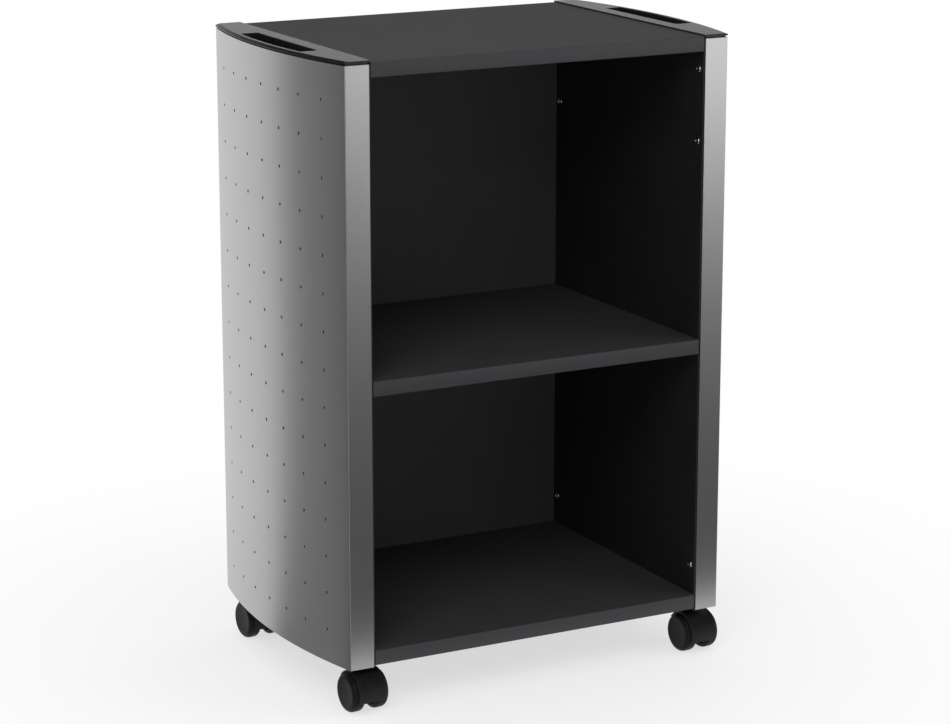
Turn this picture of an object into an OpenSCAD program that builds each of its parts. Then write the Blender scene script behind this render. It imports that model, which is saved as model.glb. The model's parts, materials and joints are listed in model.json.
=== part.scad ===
// Rolling shelf cart: two compartments between curved, perforated metal sides,
// with grip caps on top and four twin-wheel swivel casters below.
// Millimetres, +Z up, front towards -Y. The origin is on the floor,
// under the middle of the cart's four flanges.

/* [Cart] */
// Width over the outer edges of the front flanges
cart_w = 530; // [480:5:700]
// Depth over the faces of the front and rear flanges
cart_d = 380; // [340:5:450]
// Height of the metal sides
side_h = 748; // [700:2:820]

/* [Metal sides] */
// Thickness of the sheet
sheet_t = 1.2; // [0.8:0.1:2]
// How far the sheet curves out past the flanges' outer edges
side_bulge = 23; // [16:1:34]
// Width of each flange
flange_w = 32; // [28:1:42]
// Outside radius of the bend between flange and curved sheet
bend_r = 2.5; // [2.2:0.1:5]

/* [Perforations] */
// Diameter of a punched hole
hole_d = 3; // [2:0.5:5]
// Distance between columns of holes, along the curve
hole_col_pitch = 48; // [30:1:60]
// Distance between rows of holes
hole_row_pitch = 47.2; // [30:0.2:60]
// Distance of the first row below the sheet's upper edge
hole_drop = 44.6; // [30:0.2:60]
// Least distance of a hole from the sheet's lower edge and from the flanges
hole_margin = 40; // [20:1:60]

/* [Side boards] */
// Thickness of a side board
board_t = 19; // [18:0.5:22]
// How far a board's inner face stands in past the flange's inner edge
board_reveal = 2; // [0.5:0.5:5]

/* [Shelves] */
// Thickness of a shelf
shelf_t = 19; // [17:0.5:25]
// Height of the bottom shelf's underside above the sheet's lower edge
bottom_rise = 2; // [0:0.5:10]
// Height of the middle shelf's underside above the sheet's lower edge
middle_rise = 344; // [300:2:400]
// Height of the top shelf's upper face above the sheet's upper edge
top_proud = 3; // [0:0.5:4]
// Thickness of the plastic edging strips
edging_t = 1; // [0.5:0.1:2]

/* [Back panel] */
// Thickness of the back panel
back_t = 8; // [5:0.5:12]
// Height by which the back panel laps up behind the top shelf
back_lap = 9; // [8:0.5:12]

/* [Grip caps] */
// Thickness of a cap's top plate
cap_t = 5; // [4:0.5:8]
// How far a cap's edge stands out past the metal side
cap_over = 1; // [0.5:0.5:2]
// Radius of the rounding along a cap's upper outer edge
cap_round = 3; // [1:0.5:3.5]
// Length of the grip slot
slot_len = 176; // [120:2:220]
// Width of the rim between the slot and the cap's curved edge
slot_rim = 10; // [7:0.5:12]
// Depth of the finger pocket below the cap's upper face
pocket_depth = 34; // [20:1:50]
// Wall thickness of the finger pocket
pocket_wall = 2; // [1.5:0.1:3]
// Diameter of the two pegs under a cap
peg_d = 6; // [4:0.5:8]
// Length of the pegs
peg_len = 12; // [8:1:20]

/* [Base plates and fixing angles] */
// Thickness of the plate that closes a side from below
base_t = 3; // [2:0.5:5]
// Height of that plate above the sheet's lower edge
base_rise = 1.5; // [0.5:0.5:5]
// Height of the plate's upstand along the side board
base_upstand = 16; // [14:1:30]
// Thickness of the fixing angles
angle_t = 1.5; // [1:0.1:2.5]
// Width of the angle's leg along the side board
angle_leg = 24; // [22:1:30]
// Width of the angle's leg behind the flange
angle_foot = 12; // [8:1:12]
// Distance of the angles from the sheet's upper edge and from the base plate
angle_gap = 2; // [1:0.5:5]

/* [Shelf joints] */
// Height of the joints' axis above a shelf's underside
joint_rise = 8; // [7:0.5:10]
// Distance of a dowel from the nearest caster's stem, along the cart
dowel_from_stem = 26; // [24:1:30]
// Distance of a shelf screw from the nearest dowel
joint_pitch = 32; // [28:1:36]
// Shank diameter of a shelf screw, where it passes through the side board
shelf_screw_d = 7; // [6:0.5:7]
// Thread diameter of a shelf screw, where it sits in the shelf
shelf_thread_d = 5.8; // [4:0.2:6]
// Length of the thread in the shelf
shelf_thread_len = 30; // [20:1:40]
// Head diameter of a shelf screw
shelf_head_d = 10; // [8:0.5:11]
// Head height of a shelf screw
shelf_head_h = 3; // [2:0.5:4]
// Diameter of a dowel
dowel_d = 8; // [6:0.5:8]
// Length of a dowel
dowel_len = 30; // [25:1:40]
// Depth of a dowel in the side board
dowel_in_board = 10; // [8:1:13]

/* [Screws] */
// Head diameter of the wall screws
wall_head_d = 10; // [7:0.5:11]
// Head height of the wall screws
wall_head_h = 2.6; // [2:0.2:3.4]
// Shank diameter of the wall screws and of the base plates' screws
small_screw_d = 4; // [3:0.5:5]
// Distance of the front wall screws behind the front flange's face
wall_screw_inset = 12; // [10:0.5:14]
// Distance of the upper wall screw below the sheet's upper edge
wall_screw_top = 39; // [30:1:60]
// Distance of the second wall screw below the sheet's upper edge
wall_screw_second = 130; // [80:1:160]
// Height of the lower wall screw above the sheet's lower edge
wall_screw_low = 60; // [52:1:100]
// Head diameter of the back panel's screws
back_head_d = 7; // [6:0.5:7]
// Shank diameter of the back panel's screws
back_screw_d = 3.5; // [3:0.5:4]
// Length of the back panel's screws
back_screw_len = 25; // [20:1:35]
// Number of screws in one row across the back panel
back_screw_n = 4; // [3:1:6]
// Distance of the outer back screws from the panel's ends
back_screw_inset = 51; // [45:1:80]
// Distance of the base plate's screws from the middle of the depth
base_screw_y = 60; // [40:1:90]
// Length of the base plate's screws in the side board
base_screw_len = 14; // [10:1:15]
// Head diameter of the base plate's screws
base_head_d = 8; // [6:0.5:9]
// Head height of the base plate's screws
base_head_h = 2.4; // [2:0.2:3.4]

/* [Casters] */
// Diameter of a wheel
wheel_d = 50; // [40:1:60]
// Width of a wheel
wheel_w = 17; // [14:0.5:20]
// Radius of the rounding between a wheel's tread and its outer face
wheel_round = 6; // [4:0.5:6.5]
// Radius of the rounding along the tread's inner edge
inner_round = 4.5; // [2:0.5:4.5]
// Thickness of a wheel's wall under the tread
tread_wall = 5.5; // [5:0.5:7]
// Thickness of a wheel's outer face
wheel_face_t = 3; // [2:0.5:4]
// Wall of a wheel's hub round the axle
hub_wall = 4; // [3:0.5:5]
// Thickness of the web between a caster's two wheels
web_t = 14; // [11:0.5:16]
// Depth of the web's lower edge below the axle
web_drop = 9; // [8:0.5:12]
// Distance of the wheels' axle behind the swivel stem
caster_trail = 13; // [12:0.5:20]
// Distance of a stem from the front or rear flange's face
stem_inset = 32; // [28:1:50]
// Angle at which the casters stand, seen from above
rest_turn = 3; // [-180:1:180]
// Width of the hood over the wheels
hood_w = 39; // [30:1:42]
// Wall thickness of the hood
hood_t = 2; // [1.5:0.1:3]
// Angle below level at which the hood ends behind the wheels
hood_tail = 18; // [0:1:20]
// Angle above level at which the hood ends in front of the wheels
hood_nose = 36; // [30:1:45]
// Diameter of the boss that holds the stem
boss_d = 16; // [13:0.5:20]
// Height of that boss above the hood's crown
boss_rise = 4.4; // [1:0.1:6]
// Diameter of the stem
stem_d = 8; // [7:0.5:8]
// Length of the stem below the hood's crown
stem_in_hood = 20; // [14:1:22]
// Length of the stem's tip above the retaining ring
stem_tip = 2; // [1.5:0.5:3]
// Diameter of the axle
axle_d = 6; // [5:0.5:6]
// Diameter of the sleeve in the side board
sleeve_d = 12; // [12:0.5:13]
// Length of the sleeve in the side board
sleeve_len = 38; // [36:1:42]
// Diameter of the sleeve's lip under the board
sleeve_lip_d = 18; // [16:0.5:18]
// Thickness of the sleeve's lip
sleeve_lip_t = 1.5; // [1:0.1:3]
// Height of the sleeve's inner shoulder above the board's lower edge
shoulder_rise = 28; // [20:1:30]
// Thickness of the retaining ring
ring_t = 1.2; // [0.8:0.1:1.6]
// Outer diameter of the retaining ring
ring_d = 10; // [9:0.1:10.2]
// Depth of the ring's groove in the stem
groove_depth = 0.6; // [0.4:0.1:1]

/* [Fits] */
// Radial clearance of a shaft that turns in its hole
run_clear = 0.05; // [0.02:0.01:0.1]
// Clearance between pieces that are put together and stay still
fit_clear = 0.1; // [0.05:0.05:0.2]
// Gap between faces that turn past each other
turn_gap = 0.3; // [0.2:0.1:0.5]
// Gap between a wheel's tread and the hood
tread_gap = 0.8; // [0.5:0.1:1.5]
// Gap between a wheel's inner face and the web
wheel_side_gap = 1; // [0.6:0.1:2]

/* [Hidden] */
// Fineness of long curves and of small round shapes
FN_LONG = 180;
FN_ROUND = 48;
// Length by which a cutter runs past the face that it cuts
OVER = 1;

// Casters: name, side across the cart, end along the cart
CORNERS = [
    ["front_left", -1, -1],
    ["front_right", 1, -1],
    ["rear_left", -1, 1],
    ["rear_right", 1, 1],
];
CASTER_PARTS = ["sleeve", "retaining_ring", "stem", "hood", "axle", "outer_wheel", "inner_wheel"];

// Colours
SILVER = [0.68, 0.68, 0.68];
ANTHRACITE = [0.26, 0.26, 0.27];
BLACK = [0.09, 0.09, 0.09];
CAP_BLACK = [0.16, 0.16, 0.17];
NYLON = [0.12, 0.12, 0.12];
STEEL = [0.72, 0.72, 0.74];
BEECH = [0.80, 0.64, 0.43];

// Caster heights, from the floor up
wheel_r = wheel_d / 2;
hood_in_r = wheel_r + tread_gap;
hood_r = hood_in_r + hood_t;
boss_top = wheel_r + hood_r + boss_rise;
side_z = boss_top + turn_gap + sleeve_lip_t;
side_top = side_z + side_h;

// Half depth, and the places of flanges and boards across the cart
half_d = cart_d / 2;
flange_out = cart_w / 2;
flange_in = flange_out - flange_w;
board_in = flange_in - board_reveal;
board_out = board_in + board_t;
board_mid = (board_in + board_out) / 2;

// Arc of the curved side, seen from above
arc_r = (pow(half_d, 2) + pow(side_bulge, 2)) / (2 * side_bulge);
arc_x = flange_out + side_bulge - arc_r;

// Perforation pattern
hole_step = hole_col_pitch / arc_r * 180 / PI;
hole_half_cols = floor((half_d - hole_margin) / hole_col_pitch);
hole_rows = floor((side_h - hole_drop - hole_margin) / hole_row_pitch) + 1;

// Shelf levels and sizes
shelf_half_w = board_in - fit_clear;
bottom_z = side_z + bottom_rise;
middle_z = side_z + middle_rise;
top_z = side_top + top_proud - shelf_t;
shelf_front = -half_d + edging_t;
shelf_rear = half_d - back_t - fit_clear;
top_rear = half_d - edging_t;
SHELF_LEVELS = [bottom_z, middle_z, top_z];

// Places of the shelf joints along the cart, and of the caps' pegs between them
stem_y = half_d - stem_inset;
dowel_y = stem_y - dowel_from_stem;
shelf_screw_y = dowel_y - joint_pitch;
peg_y = dowel_y - joint_pitch / 2;

// Screws: clearance holes, tips past the angles, room round the heads, recesses
clear_d = small_screw_d + 2 * fit_clear;
screw_tip = 3;
head_room = 5;
wall_rear_inset = back_t + wall_head_d / 2 + head_room;
WALL_SCREW_Z = [side_z + wall_screw_low, side_top - wall_screw_second, side_top - wall_screw_top];
WALL_SCREW_Y = [-half_d + wall_screw_inset, half_d - wall_rear_inset];
wall_screw_len = board_t + fit_clear + angle_t + screw_tip;
base_screw_drop = 7;
base_screw_z = side_z + base_rise + base_upstand - base_screw_drop;
back_pitch = 2 * (shelf_half_w - back_screw_inset) / (back_screw_n - 1);

// Heads: the straight rim and narrower crown of a domed head, and the recesses
wall_rim_h = 0.4 * wall_head_h;
wall_crown_d = 0.6 * wall_head_d;
wall_recess = [wall_head_d / 2, wall_head_d / 7, 0.6 * wall_head_h];
back_sink = (back_head_d - back_screw_d) / 2;
back_recess = [back_head_d / 2, back_head_d / 7, back_sink / 2];
socket_d = 0.4 * shelf_head_d;
socket_depth = 0.7 * shelf_head_h;
SOCKET_SIDES = 6;

// Grip cap
cap_in = board_in + fit_clear;
cap_half = half_d + cap_over;
cap_r = arc_r + cap_over;
cap_top = side_top + cap_t;
slot_in = board_out + fit_clear + pocket_wall;
slot_r = cap_r - slot_rim;
slot_half = slot_len / 2;

// Caster parts
stem_r = stem_d / 2;
bore_r = stem_r + run_clear;
sleeve_r = sleeve_d / 2;
stem_low = wheel_r + hood_r - stem_in_hood;
ring_z = side_z + shoulder_rise + turn_gap;
stem_top = ring_z + ring_t + stem_tip;
stem_chamfer = 1;
web_r = hood_in_r + hood_t / 2;
wheel_in = web_t / 2 + wheel_side_gap;
hub_r = axle_d / 2 + hub_wall;
bore_depth = wheel_w - wheel_face_t;
axle_end_gap = 0.5;
axle_half = wheel_in + bore_depth - axle_end_gap;

// Wheel's outer face: the land round it, and its sunk disc
face_land = 1;
disc_sink = 0.6;
disc_r = wheel_r - wheel_round - face_land;

// Outline of a side seen from above: straight inner edge at x, curved outer edge
// of radius r, flat ends at half, and corners of radius c between them
module side_outline(x, half, r, c) {
    corner_y = half - c;
    corner_x = arc_x + sqrt(pow(r - c, 2) - pow(corner_y, 2));
    touch_y = corner_y * r / (r - c);
    intersection() {
        translate([arc_x, 0]) circle(r = r, $fn = FN_LONG);
        translate([x, -touch_y]) square([arc_x + r + OVER - x, 2 * touch_y]);
    }
    translate([x, -half]) square([corner_x - x, 2 * half]);
    for (end = [-1, 1]) translate([corner_x, end * corner_y]) circle(r = c, $fn = FN_ROUND);
}

// Grip slot seen from above, grown by an amount all round
module slot_outline(grow) {
    intersection() {
        translate([arc_x, 0]) circle(r = slot_r + grow, $fn = FN_LONG);
        translate([slot_in - grow, -slot_half - grow])
            square([arc_x + slot_r + grow + OVER - slot_in + grow, slot_len + 2 * grow]);
    }
}

// A screw or hole along X at a place on the side board
module across(y, z) {
    translate([board_in, y, z]) rotate([0, 90, 0]) children();
}

// Everything on the right; the left is its mirror image
module on_side(side) {
    if (side > 0) children();
    else mirror([1, 0, 0]) children();
}

// Metal sides
module side_shell(side) {
    color(SILVER) on_side(side) difference() {
        translate([0, 0, side_z]) linear_extrude(side_h) difference() {
            side_outline(flange_in, half_d, arc_r, bend_r);
            side_outline(flange_in - OVER, half_d - sheet_t, arc_r - sheet_t, bend_r - sheet_t);
        }
        for (col = [-hole_half_cols:hole_half_cols], row = [0:hole_rows - 1])
            translate([arc_x, 0, side_top - hole_drop - row * hole_row_pitch])
                rotate([0, 0, col * hole_step]) rotate([0, 90, 0])
                    translate([0, 0, arc_r - sheet_t - OVER])
                        cylinder(d = hole_d, h = sheet_t + 2 * OVER, $fn = FN_ROUND / 2);
    }
}

// Side boards, with the holes for sleeves, screws, dowels and pegs
module side_board(side) {
    edge = half_d - sheet_t - fit_clear;
    color(BLACK) on_side(side) difference() {
        translate([board_in, -edge, side_z]) cube([board_t, 2 * edge, side_h]);
        for (end = [-1, 1]) {
            translate([board_mid, end * stem_y, side_z - OVER])
                cylinder(r = sleeve_r + run_clear, h = sleeve_len + fit_clear + OVER, $fn = FN_ROUND);
            translate([board_mid, end * peg_y, side_top - peg_len - fit_clear])
                cylinder(d = peg_d + 2 * fit_clear, h = peg_len + fit_clear + OVER, $fn = FN_ROUND);
            across(end * base_screw_y, base_screw_z) translate([0, 0, board_t - base_screw_len])
                cylinder(d = clear_d, h = base_screw_len + OVER, $fn = FN_ROUND);
            for (level = SHELF_LEVELS) {
                across(end * shelf_screw_y, level + joint_rise) {
                    translate([0, 0, -OVER])
                        cylinder(d = shelf_screw_d + 2 * fit_clear, h = board_t + 2 * OVER, $fn = FN_ROUND);
                    translate([0, 0, board_t - shelf_head_h - fit_clear])
                        cylinder(d = shelf_head_d + 2 * fit_clear, h = shelf_head_h + OVER, $fn = FN_ROUND);
                }
                across(end * dowel_y, level + joint_rise) translate([0, 0, dowel_in_board + fit_clear])
                    mirror([0, 0, 1]) cylinder(d = dowel_d + 2 * fit_clear, h = board_t, $fn = FN_ROUND);
            }
        }
        for (y = WALL_SCREW_Y, z = WALL_SCREW_Z) across(y, z) translate([0, 0, -OVER])
            cylinder(d = clear_d, h = board_t + 2 * OVER, $fn = FN_ROUND);
    }
}

// Steel angles that tie the flanges to the side board
module fixing_angles(side) {
    low = side_z + base_rise + base_t + angle_gap;
    tall = side_top - angle_gap - low;
    face = half_d - sheet_t;
    inner = board_out + fit_clear;
    color(STEEL) on_side(side) for (end = [-1, 1]) difference() {
        union() {
            translate([inner, end > 0 ? face - angle_t : -face, low]) cube([angle_foot, angle_t, tall]);
            translate([inner, end > 0 ? face - angle_leg : -face, low]) cube([angle_t, angle_leg, tall]);
        }
        y = end > 0 ? WALL_SCREW_Y[1] : WALL_SCREW_Y[0];
        for (z = WALL_SCREW_Z) across(y, z) translate([0, 0, board_t - OVER])
            cylinder(d = clear_d, h = angle_t + fit_clear + 2 * OVER, $fn = FN_ROUND);
    }
}

// Plates that close the sides from below
module base_plate(side) {
    low = side_z + base_rise;
    inner = board_out + fit_clear;
    inset = sheet_t + fit_clear;
    color(STEEL) on_side(side) difference() {
        union() {
            translate([0, 0, low]) linear_extrude(base_t) intersection() {
                translate([arc_x, 0]) circle(r = arc_r - inset, $fn = FN_LONG);
                translate([inner, -half_d + inset]) square([side_bulge + flange_w, cart_d - 2 * inset]);
            }
            translate([inner, -half_d + angle_leg + inset, low])
                cube([angle_t, cart_d - 2 * (angle_leg + inset), base_upstand]);
        }
        for (end = [-1, 1]) across(end * base_screw_y, base_screw_z) translate([0, 0, board_t - OVER])
            cylinder(d = clear_d, h = angle_t + fit_clear + 2 * OVER, $fn = FN_ROUND);
    }
}

// Caps with a grip slot, a finger pocket below it and two pegs
module grip_cap(side) {
    color(CAP_BLACK) on_side(side) {
        difference() {
            union() {
                intersection() {
                    translate([arc_x, 0, side_top]) rotate_extrude($fn = FN_LONG) cap_profile();
                    translate([cap_in, -cap_half, side_top - OVER])
                        cube([arc_x + cap_r + OVER - cap_in, 2 * cap_half, cap_t + 2 * OVER]);
                }
                translate([0, 0, cap_top - pocket_depth - pocket_wall])
                    linear_extrude(pocket_depth + pocket_wall - cap_t / 2) slot_outline(pocket_wall);
            }
            translate([0, 0, cap_top - pocket_depth]) linear_extrude(pocket_depth + OVER) slot_outline(0);
        }
        for (end = [-1, 1]) translate([board_mid, end * peg_y, side_top - peg_len])
            cylinder(d = peg_d, h = peg_len + cap_t / 2, $fn = FN_ROUND);
    }
}

// Section through a cap's top plate, from the arc's centre out to its rounded edge
module cap_profile() {
    square([cap_r, cap_t - cap_round]);
    square([cap_r - cap_round, cap_t]);
    translate([cap_r - cap_round, cap_t - cap_round]) intersection() {
        circle(r = cap_round, $fn = FN_ROUND);
        square(cap_round);
    }
}

// Joint holes in both ends of a shelf
module shelf_end_holes(level) {
    for (side = [-1, 1], end = [-1, 1]) on_side(side) {
        across(end * shelf_screw_y, level + joint_rise) translate([0, 0, -shelf_thread_len - fit_clear])
            cylinder(d = shelf_thread_d + 2 * fit_clear, h = shelf_thread_len + OVER, $fn = FN_ROUND);
        across(end * dowel_y, level + joint_rise)
            translate([0, 0, dowel_in_board - dowel_len - fit_clear])
                cylinder(d = dowel_d + 2 * fit_clear, h = dowel_len, $fn = FN_ROUND);
    }
}

// Back screw at each place along a row at height z
module back_row(z) {
    for (i = [0:back_screw_n - 1])
        translate([-shelf_half_w + back_screw_inset + i * back_pitch, half_d, z])
            rotate([90, 0, 0]) children();
}

// Height of the back screws in a shelf: the top shelf's sit in the lapped part
function back_screw_z(level) = level + (level == top_z ? back_lap / 2 : joint_rise);

// Middle and bottom shelves
module plain_shelf(level) {
    color(ANTHRACITE) difference() {
        translate([-shelf_half_w, shelf_front, level])
            cube([2 * shelf_half_w, shelf_rear - shelf_front, shelf_t]);
        shelf_end_holes(level);
        back_row(back_screw_z(level))
            cylinder(d = back_screw_d + 2 * fit_clear, h = back_screw_len + fit_clear, $fn = FN_ROUND);
    }
}

// Top shelf, cut back behind for the back panel's lap
module top_shelf() {
    color(ANTHRACITE) difference() {
        translate([-shelf_half_w, shelf_front, top_z])
            cube([2 * shelf_half_w, top_rear - shelf_front, shelf_t]);
        translate([-shelf_half_w - OVER, shelf_rear, top_z - OVER])
            cube([2 * (shelf_half_w + OVER), back_t + OVER, back_lap + fit_clear + OVER]);
        shelf_end_holes(top_z);
        back_row(back_screw_z(top_z))
            cylinder(d = back_screw_d + 2 * fit_clear, h = back_screw_len + fit_clear, $fn = FN_ROUND);
    }
}

// Plastic strip on a shelf's front edge
module front_strip(level) {
    translate([-shelf_half_w, -half_d, level]) cube([2 * shelf_half_w, edging_t, shelf_t]);
}

module middle_edging() {
    color(ANTHRACITE) front_strip(middle_z);
}

module bottom_edging() {
    color(ANTHRACITE) front_strip(bottom_z);
}

// The top shelf has a strip on its rear edge too, above the lap
module top_edging() {
    color(ANTHRACITE) {
        front_strip(top_z);
        translate([-shelf_half_w, top_rear, top_z + back_lap + fit_clear])
            cube([2 * shelf_half_w, edging_t, shelf_t - back_lap - fit_clear]);
    }
}

// Back panel, from the bottom shelf's underside into the top shelf's lap
module back_panel() {
    color(ANTHRACITE) difference() {
        translate([-shelf_half_w, half_d - back_t, bottom_z])
            cube([2 * shelf_half_w, back_t, top_z + back_lap - bottom_z]);
        for (level = SHELF_LEVELS) back_row(back_screw_z(level)) {
            cylinder(d = back_screw_d + 2 * fit_clear, h = back_t + OVER, $fn = FN_ROUND);
            countersink(fit_clear);
        }
    }
}

// Countersunk head of a back screw, pointing into the panel
module countersink(grow) {
    translate([0, 0, -grow])
        cylinder(r1 = back_head_d / 2 + 2 * grow, r2 = back_screw_d / 2 + grow,
            h = back_sink + grow, $fn = FN_ROUND);
}

// Domed screws through the side boards into the fixing angles
module wall_screws() {
    color(STEEL) for (side = [-1, 1], y = WALL_SCREW_Y, z = WALL_SCREW_Z) on_side(side) across(y, z)
        difference() {
            union() {
                cylinder(d = small_screw_d, h = wall_screw_len, $fn = FN_ROUND);
                rotate([180, 0, 0]) {
                    cylinder(d = wall_head_d, h = wall_rim_h, $fn = FN_ROUND);
                    translate([0, 0, wall_rim_h])
                        cylinder(d1 = wall_head_d, d2 = wall_crown_d, h = wall_head_h - wall_rim_h,
                            $fn = FN_ROUND);
                }
            }
            translate([0, 0, -wall_head_h]) cross_recess(wall_recess);
        }
}

// Cutter for a cross recess of a length, width and depth, down into a head at the origin
module cross_recess(size) {
    for (turn = [0, 90]) rotate([0, 0, turn])
        translate([-size.x / 2, -size.y / 2, -OVER]) cube([size.x, size.y, size.z + OVER]);
}

// Stepped screws from the side's hollow through the board into a shelf's end
module shelf_screws() {
    color(STEEL) for (side = [-1, 1], end = [-1, 1], level = SHELF_LEVELS) on_side(side)
        across(end * shelf_screw_y, level + joint_rise) difference() {
            union() {
                translate([0, 0, -shelf_thread_len])
                    cylinder(d = shelf_thread_d, h = shelf_thread_len + OVER, $fn = FN_ROUND);
                cylinder(d = shelf_screw_d, h = board_t - shelf_head_h / 2, $fn = FN_ROUND);
                translate([0, 0, board_t - shelf_head_h])
                    cylinder(d = shelf_head_d, h = shelf_head_h, $fn = FN_ROUND);
            }
            translate([0, 0, board_t - socket_depth])
                cylinder(d = socket_d, h = shelf_head_h, $fn = SOCKET_SIDES);
        }
}

// Wooden dowels between side boards and shelves
module shelf_dowels() {
    color(BEECH) for (side = [-1, 1], end = [-1, 1], level = SHELF_LEVELS) on_side(side)
        across(end * dowel_y, level + joint_rise) translate([0, 0, dowel_in_board - dowel_len])
            cylinder(d = dowel_d, h = dowel_len, $fn = FN_ROUND);
}

// Countersunk screws through the back panel into the shelves
module back_screws() {
    color(STEEL) for (level = SHELF_LEVELS) back_row(back_screw_z(level)) difference() {
        union() {
            cylinder(d = back_screw_d, h = back_screw_len, $fn = FN_ROUND);
            countersink(0);
        }
        cross_recess(back_recess);
    }
}

// Screws that hold the base plates' upstands to the side boards
module base_screws() {
    color(STEEL) for (side = [-1, 1], end = [-1, 1]) on_side(side)
        across(end * base_screw_y, base_screw_z) {
            translate([0, 0, board_t - base_screw_len + fit_clear])
                cylinder(d = small_screw_d, h = base_screw_len + angle_t, $fn = FN_ROUND);
            translate([0, 0, board_t + fit_clear + angle_t])
                cylinder(d = base_head_d, h = base_head_h, $fn = FN_ROUND);
        }
}

// Casters. Each piece is drawn with the stem's axis at the origin and the
// wheels trailing towards -Y.

// Places a caster's piece at a corner of the cart
module at_corner(corner) {
    translate([corner[1] * board_mid, corner[2] * stem_y, 0]) children();
}

// Turns a caster's piece to the angle at which the casters stand
module turned() {
    rotate([0, 0, rest_turn]) children();
}

// Moves to the axle's middle, with Z along the axle
module on_axle() {
    translate([0, -caster_trail, wheel_r]) rotate([0, 90, 0]) children();
}

// Half space below a plane through the axle, tipped by an angle
module below_axle(tip) {
    reach = wheel_d + boss_d;
    translate([0, -caster_trail, wheel_r]) rotate([tip, 0, 0])
        translate([-reach, -reach, -reach]) cube([2 * reach, 2 * reach, reach]);
}

// Steel sleeve pressed into the side board, with a shoulder for the ring
module caster_sleeve() {
    color(STEEL) difference() {
        union() {
            translate([0, 0, side_z - sleeve_lip_t])
                cylinder(d = sleeve_lip_d, h = sleeve_lip_t, $fn = FN_ROUND);
            translate([0, 0, side_z - sleeve_lip_t / 2])
                cylinder(r = sleeve_r, h = sleeve_len + sleeve_lip_t / 2, $fn = FN_ROUND);
        }
        translate([0, 0, side_z - sleeve_lip_t - OVER])
            cylinder(r = bore_r, h = sleeve_len + sleeve_lip_t + 2 * OVER, $fn = FN_ROUND);
        translate([0, 0, side_z + shoulder_rise])
            cylinder(d = ring_d + 2 * turn_gap, h = sleeve_len, $fn = FN_ROUND);
    }
}

// Ring that keeps the stem from dropping out of the sleeve
module retaining_ring() {
    color(STEEL) translate([0, 0, ring_z]) difference() {
        cylinder(d = ring_d, h = ring_t, $fn = FN_ROUND);
        translate([0, 0, -OVER])
            cylinder(r = stem_r - groove_depth + fit_clear, h = ring_t + 2 * OVER, $fn = FN_ROUND);
    }
}

// Stem with a groove for the ring
module caster_stem() {
    color(STEEL) rotate_extrude($fn = FN_ROUND) polygon([
        [0, stem_low],
        [stem_r, stem_low],
        [stem_r, ring_z - fit_clear],
        [stem_r - groove_depth, ring_z - fit_clear],
        [stem_r - groove_depth, ring_z + ring_t + fit_clear],
        [stem_r, ring_z + ring_t + fit_clear],
        [stem_r, stem_top - stem_chamfer],
        [stem_r - stem_chamfer, stem_top],
        [0, stem_top],
    ]);
}

// Hood: a fender round both wheels, a web between them and a boss for the stem
module caster_hood() {
    color(NYLON) difference() {
        union() {
            difference() {
                union() {
                    difference() {
                        on_axle() cylinder(r = hood_r, h = hood_w, center = true, $fn = FN_ROUND * 2);
                        below_axle(hood_tail);
                        below_axle(hood_nose);
                    }
                    translate([0, 0, wheel_r + hood_in_r / 2])
                        cylinder(d = boss_d, h = boss_top - wheel_r - hood_in_r / 2, $fn = FN_ROUND);
                }
                on_axle() cylinder(r = hood_in_r, h = hood_w + boss_d, center = true, $fn = FN_ROUND * 2);
            }
            difference() {
                on_axle() cylinder(r = web_r, h = web_t, center = true, $fn = FN_ROUND * 2);
                translate([0, 0, -web_drop]) below_axle(0);
            }
        }
        translate([0, 0, stem_low]) cylinder(r = stem_r + run_clear, h = boss_top, $fn = FN_ROUND);
        on_axle() cylinder(r = axle_d / 2 + run_clear, h = web_t + 2 * OVER, center = true, $fn = FN_ROUND);
    }
}

// Axle through the web, with its ends in the wheels' blind bores
module caster_axle() {
    color(STEEL) on_axle() cylinder(d = axle_d, h = 2 * axle_half, center = true, $fn = FN_ROUND);
}

// Section through a wheel: radius, then distance out from its inner face
module wheel_profile() {
    bore = axle_d / 2 + run_clear;
    rim = wheel_r - tread_wall;
    hollow = wheel_w / 2;
    polygon(concat(
        [
            [bore, turn_gap - wheel_side_gap],
            [hub_r, turn_gap - wheel_side_gap],
            [hub_r, hollow],
            [rim, hollow],
            [rim, 0],
        ],
        [
            for (turn = [90:-15:0])
                [wheel_r - inner_round * (1 - cos(turn)), inner_round * (1 - sin(turn))]
        ],
        [
            for (turn = [0:15:90])
                [wheel_r - wheel_round * (1 - cos(turn)), wheel_w - wheel_round * (1 - sin(turn))]
        ],
        [
            [disc_r, wheel_w],
            [disc_r - disc_sink, wheel_w - disc_sink],
            [0, wheel_w - disc_sink],
            [0, bore_depth],
            [bore, bore_depth],
        ]
    ));
}

// One wheel, on the side of the web that facing gives
module caster_wheel(facing) {
    color(NYLON) on_axle() mirror([0, 0, facing < 0 ? 1 : 0])
        translate([0, 0, wheel_in]) rotate_extrude($fn = FN_ROUND * 2) wheel_profile();
}

side_shell(-1);  // left_side_shell
side_shell(1);  // right_side_shell
side_board(-1);  // left_side_board
side_board(1);  // right_side_board
fixing_angles(-1);  // left_fixing_angles
fixing_angles(1);  // right_fixing_angles
base_plate(-1);  // left_base_plate
base_plate(1);  // right_base_plate
grip_cap(-1);  // left_grip_cap
grip_cap(1);  // right_grip_cap
top_shelf();
plain_shelf(middle_z);  // middle_shelf
plain_shelf(bottom_z);  // bottom_shelf
top_edging();
middle_edging();
bottom_edging();
back_panel();
wall_screws();
shelf_screws();
shelf_dowels();
back_screws();
base_screws();
for (corner = CORNERS) at_corner(corner) {
    caster_sleeve();
    retaining_ring();
    caster_stem();
    turned() caster_hood();
    turned() caster_axle();
    turned() caster_wheel(corner[1]);
    turned() caster_wheel(-corner[1]);
}
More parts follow.
